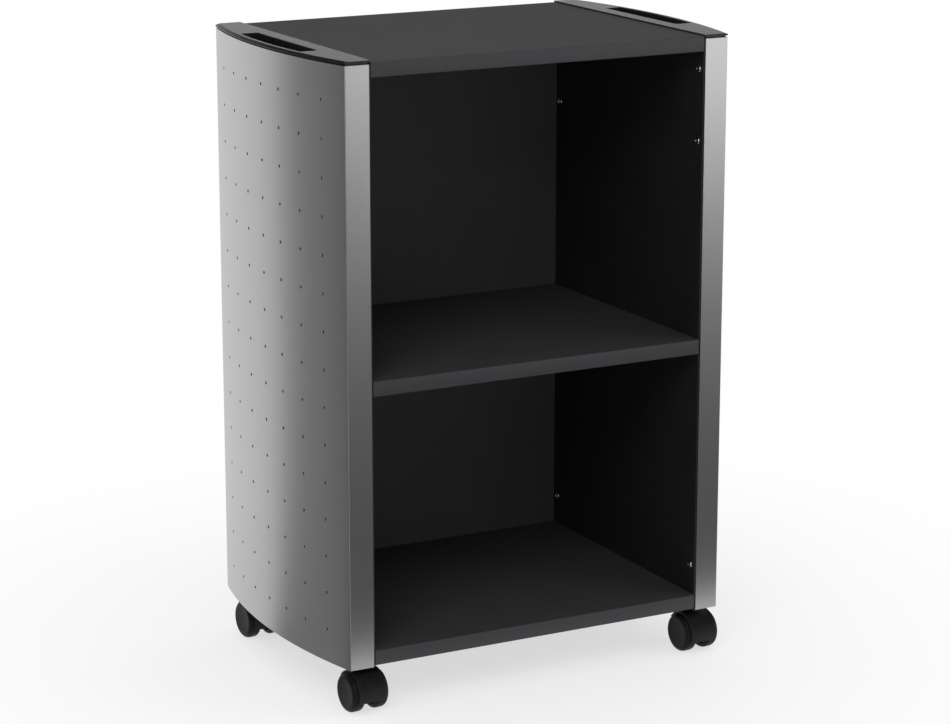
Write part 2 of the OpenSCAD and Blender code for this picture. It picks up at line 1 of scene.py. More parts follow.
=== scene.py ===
"""A rolling shelf cart: curved, perforated silver sides with grip caps, dark
melamine shelves and four twin-wheel casters. Metres, +Z up, front towards -Y."""

import json
from math import asin, atan2, cos, hypot, pi, radians, sin

import bmesh
import bpy
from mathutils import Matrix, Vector


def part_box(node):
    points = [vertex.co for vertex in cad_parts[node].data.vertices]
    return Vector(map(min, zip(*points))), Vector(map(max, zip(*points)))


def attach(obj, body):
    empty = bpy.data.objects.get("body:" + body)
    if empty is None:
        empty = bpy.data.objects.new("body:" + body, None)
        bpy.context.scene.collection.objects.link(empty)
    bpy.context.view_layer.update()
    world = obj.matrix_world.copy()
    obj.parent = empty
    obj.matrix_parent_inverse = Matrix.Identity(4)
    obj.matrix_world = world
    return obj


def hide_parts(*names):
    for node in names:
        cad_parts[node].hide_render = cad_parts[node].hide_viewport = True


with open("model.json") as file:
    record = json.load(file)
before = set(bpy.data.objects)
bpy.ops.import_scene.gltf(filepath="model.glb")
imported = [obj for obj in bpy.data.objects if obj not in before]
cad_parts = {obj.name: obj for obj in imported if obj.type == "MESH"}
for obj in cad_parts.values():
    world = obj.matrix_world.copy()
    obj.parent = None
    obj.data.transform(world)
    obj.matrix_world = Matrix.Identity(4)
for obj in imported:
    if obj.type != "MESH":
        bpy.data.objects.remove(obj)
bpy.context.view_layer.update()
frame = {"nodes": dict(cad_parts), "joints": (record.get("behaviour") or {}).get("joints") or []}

MM = 0.001
WHITE = (1, 1, 1, 1)

# How close to a place a point has to lie, and how close two points are that merge
NEAR, ROUGHLY, DOUBLED = 0.01 * MM, 0.1 * MM, 0.001 * MM
# How far a cutting tool reaches past its piece, and from which angle an edge is folded or sharp
PAST = 1 * MM
FOLDED, SHARP = radians(30), radians(60)

# Camera: its place, degrees down and to the right, focal length in pixels, and reach
CAMERA_PLACE = (-1763.5 * MM, -3337.1 * MM, 1324.4 * MM)
CAMERA_DOWN, CAMERA_RIGHT = 14.08, 27.97
SENSOR, FOCAL_PIXELS, PICTURE_PIXELS = 36, 3000, 950
CAMERA_NEAR, CAMERA_FAR = 0.05, 60

# Light: strength of the room's light, and each lamp's place, size, watts and whether it glints
ROOM_LIGHT = 0.62
LIT_SPOT = (0, 0, 0.4)
LAMPS = [("key_light", (-2.4, -2.6, 3.0), 2.0, 48, True),
         ("fill_light", (2.8, -2.4, 2.4), 2.0, 22, False),
         ("top_light", (0.2, 0.6, 3.4), 2.4, 22, True)]

# Floor: its radius, how white it is by the cart, and where its fading starts and ends
FLOOR_R, FLOOR_STEPS = 16, 96
FLOOR_WHITE, FLOOR_FADE_START, FLOOR_FADE_END = 0.65, 0.2, 1.1

# Cards that only gloss shows, in metres. Those over the floor have corners, and the upright
# ones stand at an x, from one y to another, up to a height
CARD_LIFT = 5 * MM
FLOOR_CARDS = [
    ("left_floor_card", "#949494", [(-0.3, -0.165), (-0.3, 0.04), (-1.8, 2.35), (-1.8, 0.8)]),
    ("dark_floor_card", "#303030", [(-0.3, -0.21), (-0.3, -0.165), (-1.8, 0.8), (-1.8, -0.46)]),
    ("right_floor_card", "#848484", [(0.3, 0), (0.3, 0.04), (1.8, 2.35), (1.8, 0.3)]),
    ("grey_floor_card", "#b4b4b4",
     [(-0.3, -0.21), (-6, -1.2), (-6, -7), (-3.4, -7), (-0.33, -0.37)]),
]
UPRIGHT_CARDS = [("left_card", "#949494", -1.8, 0.8, 2.35, 1.2),
                 ("dark_card", "#303030", -1.8, -0.46, 0.8, 1.2),
                 ("right_card", "#848484", 1.8, 0.3, 2.35, 0.85)]
CEILING_SHADE, CEILING_HALF, CEILING_Z = "#1c1c1c", 12, 3.6
FRONT_CARD_SHADE = "#545454"
FRONT_CARD = [(-0.33, -0.37), (4.5, -0.37), (4.5, -7), (-3.4, -7)]
# The front card turns to this much light along a direction, from a start to an end
FADE_LIGHT, FRONT_CARD_FADE = 4, ((0.848, -0.53, 0), 3.3, 5.4)

# Between these lies most of a noise
NOISE_LOW, NOISE_HIGH = 0.3, 0.7

# Places taken from the frame
SHELL_LOW, SHELL_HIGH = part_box("right_side_shell")
CAP_LOW, CAP_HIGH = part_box("right_grip_cap")
BOARD_LOW, BOARD_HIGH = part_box("right_side_board")
SHELVES = {level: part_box(f"{level}_shelf") for level in ("top", "middle", "bottom")}
JOINTS = {joint["name"]: joint for joint in frame["joints"]}

# Metal sides
SHEET = 1.2 * MM
FLANGE_EDGE = 265 * MM
BEND_R = 1.6 * MM
HALF_DEPTH = SHELL_HIGH.y
BULGE = SHELL_HIGH.x - FLANGE_EDGE
ARC_R = (HALF_DEPTH ** 2 + BULGE ** 2) / (2 * BULGE)
ARC_X = SHELL_HIGH.x - ARC_R
ARC_STEPS = 72
BEND_STEPS = 8
CUT_EDGE, CUT_EDGE_STEPS = 0.35 * MM, 2
SHEET_SMOOTH = radians(25)

# Punched holes. Their rims roll in, given as depth and flare, and the punch reaches past them
HOLE_R = 1.5 * MM
HOLE_RIM = [(0, 0.7 * MM), (0.3 * MM, 0.3 * MM), (0.6 * MM, 0)]
PUNCH_OUT, PUNCH_FLARE, PUNCH_IN = 0.5 * MM, 1.41 * MM, 3 * MM
HOLE_COLS, HOLE_COL_PITCH = 7, 48 * MM
HOLE_ROWS, HOLE_ROW_PITCH = 15, 47.2 * MM
HOLE_DROP = 44.6 * MM
HOLE_SIDES = 16

# Grip caps
CAP_ARC_R = CAP_HIGH.x - ARC_X
CAP_THICK = 5 * MM
CAP_CORNER_R = 4 * MM
CAP_SLOPE, CAP_DROP = 5 * MM, 1.4 * MM
CAP_CORNER_STEPS = 6
CAP_ROUND, CAP_ROUND_STEPS = 1.2 * MM, 5
# What share of that rounding each stretch of the cap's outline gets
CAP_EDGES = (("inner", 0.15), ("end", 0.3), ("crest", 0.3), ("arc", 1))
SHADOW_GAP, SHADOW_STEP = 2.1 * MM, 3.4 * MM
SLOT_IN = BOARD_HIGH.x + 2.1 * MM
SLOT_R = CAP_ARC_R - 10 * MM
SLOT_HALF = 88 * MM
SLOT_CORNER, SLOT_CORNER_STEPS = 1.5 * MM, 4
SLOT_LIP, SLOT_LIP_STEPS = 0.9 * MM, 3
POCKET_DEPTH = 34 * MM
POCKET_WALL = 2 * MM
CAP_SMOOTH = radians(30)

# Shelf edging
EDGING = 1 * MM
EDGING_ROUND, EDGING_STEPS = 0.7 * MM, 4
EDGING_SMOOTH = radians(40)
REAR_EDGING_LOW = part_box("back_panel")[1].z + 0.1 * MM

# Screws. A cross recess has a reach, a width and a depth, and narrows downwards
SCREW_STEPS = 32
SCREW_SMOOTH = radians(35)
DOME_TURNS = [radians(turn) for turn in range(0, 91, 10)]
CROSS_TAPER = (0.45, 0.7, 1)
WALL_HEAD_R, WALL_HEAD_H = 5 * MM, 2.6 * MM
WALL_HEAD_RIM, WALL_HEAD_UNDER = 0.6 * MM, 0.2 * MM
WALL_CROSS = (2.9 * MM, 1.1 * MM, 1.5 * MM)
WALL_SHANK_R, WALL_SHANK = 2 * MM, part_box("wall_screws")[1].x - BOARD_LOW.x
WALL_SCREW_Y = {"front": 12 * MM - HALF_DEPTH, "rear": HALF_DEPTH - 18 * MM}
WALL_SCREW_Z = {"low": SHELL_LOW.z + 60 * MM, "high": SHELL_HIGH.z - 130 * MM,
                "top": SHELL_HIGH.z - 39 * MM}
BACK_HEAD_R, BACK_HEAD_H, BACK_HEAD_EDGE = 3.5 * MM, 1.9 * MM, 0.2 * MM
BACK_CROSS = (2.1 * MM, 0.8 * MM, 1.2 * MM)
BACK_SHANK_R, BACK_SHANK = 1.75 * MM, 25 * MM
BACK_SCREW_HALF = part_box("back_screws")[1].x - BACK_HEAD_R
BACK_SCREW_X = [BACK_SCREW_HALF * (2 * step / 3 - 1) for step in range(4)]
# How far above each shelf's lower face its back screws sit
BACK_SCREW_UP = {"bottom": 8 * MM, "middle": 8 * MM, "top": 4.5 * MM}

# Casters, drawn with the stem at the origin and the wheels towards -Y
AXLE_LINE = JOINTS["front_left_outer_roll"]["axis"]
REST_TURN = atan2(AXLE_LINE[1], AXLE_LINE[0])
CORNERS = [("front_left", -1), ("front_right", 1), ("rear_left", -1), ("rear_right", 1)]
WHEEL_LOW, WHEEL_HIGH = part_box("front_left_outer_wheel")
WHEEL_R = (WHEEL_HIGH.z - WHEEL_LOW.z) / 2
WHEEL_W, WHEEL_IN = 17 * MM, 8 * MM
WHEEL_ROUND, INNER_ROUND = 6 * MM, 4.5 * MM
WHEEL_STEPS, QUARTER_STEPS = 80, 8
WHEEL_SMOOTH = radians(30)
TREAD_WALL, HOLLOW = 5.5 * MM, 8.5 * MM
HOLLOW_ROUND, HOLLOW_MOUTH = 0.5 * MM, 0.4 * MM
HUB_R, HUB_OUT = 7 * MM, 0.7 * MM
BORE_R, BORE_DEPTH = 3.05 * MM, 14 * MM
DISH, DISH_RINGS = 0.7 * MM, (0.9, 0.75, 0.5, 0.25, 0)
TRAIL = 13 * MM
AXLE = Vector((0, -TRAIL, WHEEL_R))
HOOD_R, HOOD_IN_R, HOOD_HALF_W = 27.8 * MM, 25.8 * MM, 19.5 * MM
HOOD_ROUND, HOOD_EDGE = 1.2 * MM, 0.5 * MM
HOOD_RIM_TURNS = [radians(turn) for turn in range(90, -1, -18)]
HOOD_TAIL, HOOD_NOSE = radians(18), radians(36)
HOOD_STEPS, TUNNEL_STEPS, MOULDED_EDGE_STEPS = 53, 128, 3
HOOD_SMOOTH = radians(35)
DRUM_REACH = HOOD_HALF_W + 5 * MM
WEB_R, WEB_HALF, WEB_DROP = 26.8 * MM, 7 * MM, 9 * MM
WEB_EDGE, WEB_STEPS = 0.6 * MM, 72
BOSS_R, BOSS_TOP, BOSS_STEPS = 8 * MM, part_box("front_left_hood")[1].z, 40
# The boss's outline: how much wider than its radius, and how far below its top
BOSS_FLARE = [(1.5 * MM, 7 * MM), (0.4 * MM, 5 * MM), (0, 3 * MM), (0, 0.5 * MM),
              (-0.5 * MM, 0)]
BORE_STEPS = 32
STEM_BORE_R, STEM_LOW = 4.05 * MM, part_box("front_left_stem")[0].z


# Camera, light and floor

def place_camera():
    """The photo's viewpoint: front left of the cart, a little above it."""
    bpy.ops.object.camera_add(
        location=CAMERA_PLACE,
        rotation=(radians(90 - CAMERA_DOWN), 0, radians(-CAMERA_RIGHT)))
    camera = bpy.context.object
    camera.name = "camera"
    camera.data.sensor_width = SENSOR
    camera.data.lens = SENSOR * FOCAL_PIXELS / PICTURE_PIXELS
    camera.data.clip_start, camera.data.clip_end = CAMERA_NEAR, CAMERA_FAR
    bpy.context.scene.camera = camera


def add(tree, kind, inputs=None, **settings):
    """Adds a node; an input takes a plain value or the output of another node."""
    node = tree.nodes.new(kind)
    for name, value in settings.items():
        setattr(node, name, value)
    for name, value in (inputs or {}).items():
        if isinstance(value, bpy.types.NodeSocket):
            tree.links.new(value, node.inputs[name])
        else:
            node.inputs[name].default_value = value
    return node


def colour(code):
    """An sRGB hex colour as linear red, green, blue and alpha."""
    def linear(value):
        return value / 12.92 if value <= 0.04045 else ((value + 0.055) / 1.055) ** 2.4
    return tuple(linear(int(code[i:i + 2], 16) / 255) for i in (1, 3, 5)) + (1,)


def seen_ray(tree):
    """1 for a ray that shows the background: seen directly, in gloss or through glass."""
    path = add(tree, "ShaderNodeLightPath").outputs
    gloss = add(tree, "ShaderNodeMath", {0: path["Is Camera Ray"], 1: path["Is Glossy Ray"]},
                operation="MAXIMUM").outputs[0]
    return add(tree, "ShaderNodeMath", {0: gloss, 1: path["Is Transmission Ray"]},
               operation="MAXIMUM").outputs[0]


def light_world():
    """White background; the light that it gives is softer than the white that is seen."""
    world = bpy.data.worlds.new("studio")
    bpy.context.scene.world = world
    world.use_nodes = True
    tree = world.node_tree
    tree.nodes.clear()
    seen = seen_ray(tree)
    light = add(tree, "ShaderNodeBackground", {"Color": WHITE, "Strength": ROOM_LIGHT})
    white = add(tree, "ShaderNodeBackground", {"Color": WHITE, "Strength": 1})
    both = add(tree, "ShaderNodeMixShader", {0: seen, 1: light.outputs[0], 2: white.outputs[0]})
    add(tree, "ShaderNodeOutputWorld", {"Surface": both.outputs[0]})


def soft_box(name, place, size, watts, glints):
    """A square lamp that points at the cart; gloss shows it only if it may glint."""
    turn = (Vector(LIT_SPOT) - Vector(place)).to_track_quat("-Z", "Y").to_euler()
    bpy.ops.object.light_add(type="AREA", location=place, rotation=turn)
    lamp = bpy.context.object
    lamp.name = name
    lamp.data.shape = "SQUARE"
    lamp.data.size = size
    lamp.data.energy = watts
    lamp.visible_glossy = glints


def new_material(name):
    """An empty node material, its tree and its Object coordinates."""
    material = bpy.data.materials.new(name)
    material.use_nodes = True
    tree = material.node_tree
    tree.nodes.clear()
    return material, tree, add(tree, "ShaderNodeTexCoord").outputs["Object"]


def lay_floor():
    """Pale floor that keeps the cart's shadow and fades to white further away."""
    bpy.ops.mesh.primitive_circle_add(vertices=FLOOR_STEPS, radius=FLOOR_R, fill_type="NGON")
    floor = bpy.context.object
    floor.name = "floor"
    material, tree, spot = new_material("pale_floor")
    paint = add(tree, "ShaderNodeBsdfDiffuse", {"Color": colour("#f4f4f3")})
    white = add(tree, "ShaderNodeEmission", {"Color": WHITE, "Strength": 1})
    away = add(tree, "ShaderNodeVectorMath", {0: spot}, operation="LENGTH").outputs["Value"]
    fade = add(tree, "ShaderNodeMapRange", {
        "Value": away, "From Min": FLOOR_FADE_START, "From Max": FLOOR_FADE_END,
        "To Min": FLOOR_WHITE}, interpolation_type="SMOOTHSTEP").outputs[0]
    share = add(tree, "ShaderNodeMath", {0: fade, 1: seen_ray(tree)}, operation="MULTIPLY")
    both = add(tree, "ShaderNodeMixShader",
               {0: share.outputs[0], 1: paint.outputs[0], 2: white.outputs[0]})
    add(tree, "ShaderNodeOutputMaterial", {"Surface": both.outputs[0]})
    floor.data.materials.append(material)


def hang_card(name, shade, corners, fading=None):
    """A card that only gloss shows; it can fade to bright white from a start to an end."""
    card = draw_through(name, corners)
    bpy.ops.mesh.select_all(action="SELECT")
    bpy.ops.mesh.edge_face_add()
    close_piece()
    material, tree, spot = new_material(name)
    glow = add(tree, "ShaderNodeEmission", {"Color": colour(shade), "Strength": 1}).outputs[0]
    if fading:
        direction, start, end = fading
        along = add(tree, "ShaderNodeVectorMath", {0: spot, 1: direction},
                    operation="DOT_PRODUCT")
        fade = add(tree, "ShaderNodeMapRange", {
            "Value": along.outputs["Value"], "From Min": start, "From Max": end},
            interpolation_type="SMOOTHSTEP").outputs[0]
        white = add(tree, "ShaderNodeEmission", {"Color": WHITE, "Strength": FADE_LIGHT})
        glow = add(tree, "ShaderNodeMixShader",
                   {0: fade, 1: glow, 2: white.outputs[0]}).outputs[0]
    add(tree, "ShaderNodeOutputMaterial", {"Surface": glow})
    card.data.materials.append(material)
    card.visible_camera = card.visible_diffuse = card.visible_shadow = False


def hang_cards():
    """The dark ceiling, the upright cards beside the cart and those over the floor."""
    low, high = -CEILING_HALF, CEILING_HALF
    hang_card("ceiling_card", CEILING_SHADE,
              [(low, low, CEILING_Z), (high, low, CEILING_Z), (high, high, CEILING_Z),
               (low, high, CEILING_Z)])
    for name, shade, x, near, far, top in UPRIGHT_CARDS:
        hang_card(name, shade, [(x, near, 0), (x, far, 0), (x, far, top), (x, near, top)])
    for name, shade, corners in FLOOR_CARDS:
        hang_card(name, shade, [(x, y, CARD_LIFT) for x, y in corners])
    hang_card("front_floor_card", FRONT_CARD_SHADE, [(x, y, CARD_LIFT) for x, y in FRONT_CARD],
              FRONT_CARD_FADE)


# Finishes

def grained(name, shades, rough, depth, tint, gloss, bumps, more=None):
    """A finish whose colour, roughness and relief each follow a grain.

    A grain is how wide its blotches are, its detail and its scale along X. Colour lies
    between two shades, roughness between two values, and the relief has a depth. The
    shader may get more settings, the same all over the surface."""
    material, tree, spot = new_material(name)
    noises = dict.fromkeys((tint, gloss, bumps))
    for size, detail, along in noises:
        where = add(tree, "ShaderNodeMapping", {"Vector": spot, "Scale": (along, 1, 1)})
        noises[size, detail, along] = add(tree, "ShaderNodeTexNoise", {
            "Vector": where.outputs[0], "Scale": 1 / size, "Detail": detail}).outputs[0]
    share = add(tree, "ShaderNodeMapRange", {
        "Value": noises[tint], "From Min": NOISE_LOW, "From Max": NOISE_HIGH})
    paint = add(tree, "ShaderNodeMix", {
        0: share.outputs[0], 6: colour(shades[0]), 7: colour(shades[1])}, data_type="RGBA")
    roughness = add(tree, "ShaderNodeMapRange", {
        "Value": noises[gloss], "From Min": NOISE_LOW, "From Max": NOISE_HIGH,
        "To Min": rough[0], "To Max": rough[1]})
    relief = add(tree, "ShaderNodeBump", {
        "Height": noises[bumps], "Distance": depth, "Strength": 1})
    shader = add(tree, "ShaderNodeBsdfPrincipled", {
        "Base Color": paint.outputs[2], "Roughness": roughness.outputs[0],
        "Normal": relief.outputs[0]} | (more or {}))
    add(tree, "ShaderNodeOutputMaterial", {"Surface": shader.outputs[0]})
    return material


def silver_lacquer():
    # Steel sheet with a baked silver lacquer: metal flakes give a satin grey that
    # turns bright or dark with what stands opposite, and a faint orange peel
    flake, peel = (0.9 * MM, 3, 1), (6 * MM, 1, 1)
    return grained("silver_lacquered_steel", ("#b0b0b0", "#b5b5b5"), (0.28, 0.31), 0.012 * MM,
                   flake, flake, peel, {"Metallic": 1})


def melamine(name, shades, rough, more=None):
    # Chipboard faced with melamine film: dark and matt, with the pearled pressing
    # of office furniture, drawn at 2 mm so that it shows
    pearl, cloud = (2 * MM, 2, 1), (60 * MM, 1, 1)
    return grained(name, shades, rough, 0.03 * MM, cloud, pearl, pearl, more)


def anthracite_melamine():
    # Dark blue-grey film, for the shelves and the back panel
    return melamine("anthracite_melamine", ("#39393b", "#3b3b3d"), (0.62, 0.74),
                    {"Specular IOR Level": 0.4})


def black_melamine():
    # Black film, for the inner walls
    return melamine("black_melamine", ("#171717", "#1b1b1b"), (0.5, 0.62))


def abs_edging():
    # Extruded ABS strip: a shade bluer than the board, with fine lines from the
    # die along its length
    lines = (1.2 * MM, 1, 0.02)
    return grained("anthracite_abs_edging", ("#303034", "#343438"), (0.44, 0.52), 0.01 * MM,
                   lines, lines, lines)


def moulded_cap():
    # Moulded ABS with a fine spark-eroded texture, which catches light at a
    # glancing angle and turns the flat top paler than its rounded edge
    spark, patch = (0.8 * MM, 3, 1), (25 * MM, 1, 1)
    return grained("textured_black_abs", ("#19191b", "#1e1e20"), (0.24, 0.3), 0.04 * MM,
                   patch, spark, spark, {"Specular IOR Level": 0.25})


def satin_nylon(name, shades, rough, specular):
    # Glass-filled nylon from a smooth mould: near black, satin, with faint
    # flow marks
    flow, skin = (7 * MM, 2, 1), (0.7 * MM, 2, 1)
    return grained(name, shades, rough, 0.01 * MM, flow, flow, skin,
                   {"Specular IOR Level": specular})


def hood_nylon():
    # The hoods, a little paler and rougher than the wheels
    return satin_nylon("satin_black_nylon_hood", ("#161616", "#1a1a1a"), (0.4, 0.48), 0.2)


def wheel_nylon():
    # The wheels, in the darkest nylon
    return satin_nylon("satin_black_nylon_wheel", ("#131313", "#171717"), (0.36, 0.44), 0.1)


def zinc_plate():
    # Bright zinc on steel: a soft grey metal with cloudy patches
    cloud = (9 * MM, 3, 1)
    return grained("zinc_plated_steel", ("#b0b1b3", "#c4c5c7"), (0.28, 0.42), 0.01 * MM,
                   cloud, cloud, cloud, {"Metallic": 1})


def nickel_plate():
    # Nickel-plated screw: bright and slightly warm, with fine turning marks
    marks = (0.6 * MM, 2, 1)
    return grained("nickel_plated_steel", ("#cfcdc8", "#dedcd8"), (0.16, 0.24), 0.004 * MM,
                   marks, marks, marks, {"Metallic": 1})


def beech_wood():
    # Turned beech dowel: pale pinkish brown with short dark flecks along its
    # length
    fleck = (1.2 * MM, 3, 0.12)
    return grained("beech", ("#b98f63", "#d3ad80"), (0.5, 0.65), 0.03 * MM,
                   fleck, fleck, fleck)


# Drawing in edit mode

def take(piece):
    """Selects a piece alone and makes it the active one."""
    bpy.ops.object.select_all(action="DESELECT")
    piece.select_set(True)
    bpy.context.view_layer.objects.active = piece


def open_piece(piece):
    """Opens a piece in edit mode with nothing selected in it."""
    take(piece)
    bpy.ops.object.mode_set(mode="EDIT")
    bpy.ops.mesh.select_all(action="DESELECT")


def close_piece():
    """Leaves edit mode."""
    bpy.ops.object.mode_set(mode="OBJECT")


def start_line(name, place):
    """A new piece with one point, open in edit mode, from which lines are drawn."""
    bpy.ops.object.select_all(action="DESELECT")
    bpy.ops.mesh.primitive_plane_add(size=MM)
    piece = bpy.context.object
    piece.name = piece.data.name = name
    bpy.ops.object.mode_set(mode="EDIT")
    bpy.ops.mesh.select_mode(type="VERT")
    bpy.ops.mesh.select_all(action="SELECT")
    bpy.ops.mesh.merge(type="CENTER")
    bpy.ops.transform.translate(value=place)
    return piece


def extrude(step):
    """Draws what is selected on by a step."""
    bpy.ops.mesh.extrude_region_move(TRANSFORM_OT_translate={"value": step})


def turn_about(centre, angle, steps, axis=(0, 0, 1)):
    """Draws what is selected on round an axis, anticlockwise as the axis points at the eye."""
    bpy.ops.mesh.spin(steps=steps, angle=-angle, center=centre, axis=axis)


def draw_through(name, points):
    """A line through points."""
    piece = start_line(name, points[0])
    for here, there in zip(points, points[1:]):
        extrude(Vector(there) - Vector(here))
    return piece


def pick(kind, wanted):
    """Selects the VERT, EDGE or FACE elements of the open piece that are wanted."""
    bpy.ops.mesh.select_mode(type=kind)
    bpy.ops.mesh.select_all(action="DESELECT")
    data = bpy.context.edit_object.data
    mesh = bmesh.from_edit_mesh(data)
    for element in {"VERT": mesh.verts, "EDGE": mesh.edges, "FACE": mesh.faces}[kind]:
        if wanted(element):
            element.select_set(True)
    bmesh.update_edit_mesh(data)


def level_edge(edge, z):
    """Whether an edge lies at a height."""
    return all(abs(vertex.co.z - z) < NEAR for vertex in edge.verts)


def face_outwards():
    """Merges doubled points of the open piece and turns its faces outwards."""
    bpy.ops.mesh.select_all(action="SELECT")
    bpy.ops.mesh.remove_doubles(threshold=DOUBLED)
    bpy.ops.mesh.normals_make_consistent(inside=False)


def modify(piece, kind, **settings):
    """Adds a modifier and applies it."""
    take(piece)
    modifier = piece.modifiers.new(kind.lower(), kind)
    for name, value in settings.items():
        setattr(modifier, name, value)
    bpy.ops.object.modifier_apply(modifier=modifier.name)


def cut(piece, tool, operation="DIFFERENCE"):
    """Cuts a tool out of a piece, or joins it on, and removes the tool."""
    modify(piece, "BOOLEAN", object=tool, operation=operation, solver="EXACT")
    bpy.data.objects.remove(tool)


def smooth(piece, angle):
    """Shades a piece smooth but for edges that turn by more than an angle."""
    take(piece)
    bpy.ops.object.shade_smooth_by_angle(angle=angle)


def lathe(name, points, centre, axis, steps):
    """A closed round piece from a section whose ends lie on the axis."""
    piece = draw_through(name, points)
    bpy.ops.mesh.select_all(action="SELECT")
    turn_about(centre, 2 * pi, steps, axis)
    face_outwards()
    close_piece()
    return piece


def join(piece, other):
    """Makes another piece part of a piece."""
    take(piece)
    other.select_set(True)
    bpy.ops.object.join()


def copy_of(piece, name):
    """A copy with its own mesh."""
    take(piece)
    bpy.ops.object.duplicate(linked=False)
    copy = bpy.context.object
    copy.name = copy.data.name = name
    return copy


def mirrored(piece, name):
    """A copy for the cart's other side, its faces turned outwards again."""
    copy = copy_of(piece, name)
    bpy.ops.object.mode_set(mode="EDIT")
    bpy.ops.mesh.select_all(action="SELECT")
    bpy.ops.transform.resize(value=(-1, 1, 1), center_override=(0, 0, 0))
    bpy.ops.mesh.flip_normals()
    close_piece()
    return copy


def settle(piece, turn, place):
    """Turns a piece about the upright axis, moves it and applies both to its mesh."""
    take(piece)
    piece.rotation_euler = (0, 0, turn)
    piece.location = place
    bpy.ops.object.transform_apply(location=True, rotation=True, scale=True)


def fit(piece, body, slot, *nodes):
    """Gives a finished piece its finish, body and slot, and hides the nodes it stands for."""
    piece.data.materials.clear()
    piece.data.materials.append(FINISHES[slot])
    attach(piece, body)
    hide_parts(*nodes)


# Metal sides

def corner_of_arc(half, arc_r, corner_r):
    """Middle of the rounding between a straight end and the arc, and the arc's half angle."""
    y = half - corner_r
    opening = asin(y / (arc_r - corner_r))
    return ARC_X + (arc_r - corner_r) * cos(opening), y, opening


def draw_side_line(name, low_x, z, half, arc_r, corner_r, corner_steps):
    """Outline of a side seen from above, from one straight end round the arc to the other."""
    x, y, opening = corner_of_arc(half, arc_r, corner_r)
    piece = start_line(name, (low_x, -half, z))
    extrude((x - low_x, 0, 0))
    turn_about((x, -y, z), pi / 2 - opening, corner_steps)
    turn_about((ARC_X, 0, z), 2 * opening, ARC_STEPS)
    turn_about((x, y, z), pi / 2 - opening, corner_steps)
    extrude((low_x - x, 0, 0))
    return piece


def hole_punches():
    """One punch with a flared shoulder, copied down a column and round the arc."""
    step = HOLE_COL_PITCH / ARC_R
    first = -step * (HOLE_COLS // 2)
    out = Vector((cos(first), sin(first), 0))
    face = Vector((ARC_X, 0, SHELL_HIGH.z - HOLE_DROP)) + ARC_R * out
    section = [(-PUNCH_OUT, PUNCH_FLARE)] + HOLE_RIM + [(PUNCH_IN, 0)]
    points = ([face + out * PUNCH_OUT]
              + [face - out * depth + Vector((0, 0, HOLE_R + flare)) for depth, flare in section]
              + [face - out * PUNCH_IN])
    punch = lathe("hole_punches", points, face, out, HOLE_SIDES)
    open_piece(punch)
    bpy.ops.mesh.select_all(action="SELECT")
    for _ in range(HOLE_ROWS - 1):
        bpy.ops.mesh.duplicate_move(TRANSFORM_OT_translate={"value": (0, 0, -HOLE_ROW_PITCH)})
    bpy.ops.mesh.select_all(action="SELECT")
    bpy.ops.mesh.spin(steps=HOLE_COLS - 1, dupli=True, angle=-step * (HOLE_COLS - 1),
                      center=(ARC_X, 0, 0), axis=(0, 0, 1))
    close_piece()
    return punch


def side_sheet():
    """The sheet drawn from flange to flange, raised row by row, thickened and punched."""
    low, high = SHELL_LOW.z, SHELL_HIGH.z
    piece = draw_side_line("right_side_sheet", SHELL_LOW.x, low, HALF_DEPTH, ARC_R, BEND_R,
                           BEND_STEPS)
    bpy.ops.mesh.select_all(action="SELECT")
    between = [high - HOLE_DROP - HOLE_ROW_PITCH * (row - 0.5) for row in range(HOLE_ROWS, 0, -1)]
    levels = [low] + between + [high]
    for here, there in zip(levels, levels[1:]):
        extrude((0, 0, there - here))
    bpy.ops.mesh.select_all(action="SELECT")
    bpy.ops.mesh.normals_make_consistent(inside=False)
    close_piece()
    outer = max(piece.data.polygons, key=lambda face: face.center.x)
    modify(piece, "SOLIDIFY", thickness=SHEET, offset=-1 if outer.normal.x > 0 else 1,
           use_even_offset=True)
    modify(piece, "BEVEL", width=CUT_EDGE, segments=CUT_EDGE_STEPS, limit_method="ANGLE",
           angle_limit=SHARP)
    cut(piece, hole_punches())
    smooth(piece, SHEET_SMOOTH)
    return piece


# Grip caps

def slot_block(name, grow, low, high):
    """A block with the grip slot's outline, grown all round, between two heights."""
    half, radius, inner = SLOT_HALF + grow, SLOT_R + grow, SLOT_IN - grow
    opening = asin(half / radius)
    x = ARC_X + radius * cos(opening)
    piece = start_line(name, (inner, -half, high))
    extrude((x - inner, 0, 0))
    turn_about((ARC_X, 0, high), 2 * opening, ARC_STEPS // 2)
    extrude((inner - x, 0, 0))
    bpy.ops.mesh.select_all(action="SELECT")
    bpy.ops.mesh.edge_face_add()
    extrude((0, 0, low - high))
    corners = [(inner, half), (x, half)]

    def upright(edge):
        """Whether an edge stands on one of the block's corners."""
        a, b = (vertex.co for vertex in edge.verts)
        return abs(a.z - b.z) > MM and any(
            hypot(a.x - cx, abs(a.y) - cy) < NEAR for cx, cy in corners)
    pick("EDGE", upright)
    bpy.ops.mesh.bevel(offset=SLOT_CORNER + grow, segments=SLOT_CORNER_STEPS, affect="EDGES")
    face_outwards()
    close_piece()
    return piece


